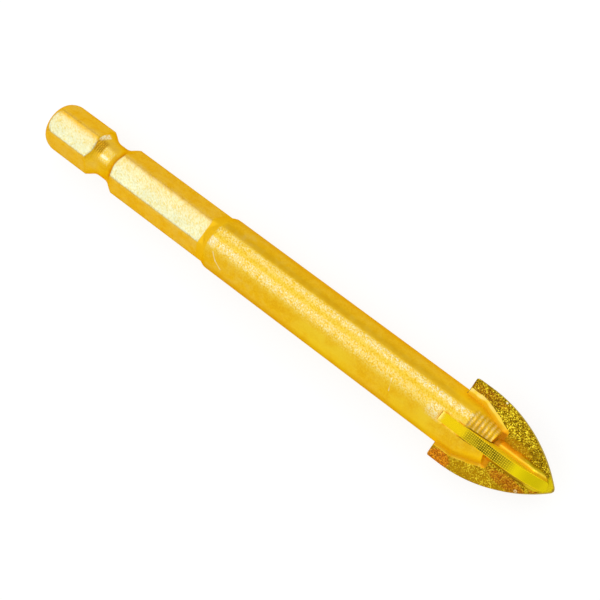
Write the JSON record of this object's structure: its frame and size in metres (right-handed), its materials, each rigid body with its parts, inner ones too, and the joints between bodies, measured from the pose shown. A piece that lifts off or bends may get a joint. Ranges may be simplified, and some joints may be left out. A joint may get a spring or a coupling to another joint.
{
  "type": "glass and tile drill bit",
  "caption": "Cross-head drill bit for glass and tile: brazed carbide spear plates on a gold-coated steel body with a quarter-inch hex shank and power groove.",
  "frame": {"origin": "centre of the flat end face of the hex shank", "axes": "+X along the bit's axis towards the tip, +Z out of one hex flat, +Y across it; the bit lies on its round body"},
  "size_m": [0.085, 0.0116, 0.0078],
  "materials": {
    "coated_steel": "turned steel under a bright gold hard coating, orange in shade and pale yellow in highlights, with fine lathe rings and light glitter",
    "coated_carbide": "ground cemented carbide under a gold coating, olive gold, with coarse sparkle on the faces and cross grinding on the edges",
    "braze": "smooth run braze metal under the gold coating, bright yellow, orange in the roots"
  },
  "bodies": {
    "root": {"bit_body": "coated_steel", "main_carbide_plate": "coated_carbide", "side_carbide_plate_front": "coated_carbide", "side_carbide_plate_back": "coated_carbide", "braze_bead_wide_front": "braze", "braze_bead_wide_back": "braze", "braze_bead_narrow_front": "braze", "braze_bead_narrow_back": "braze"}
  },
  "joints": []
}
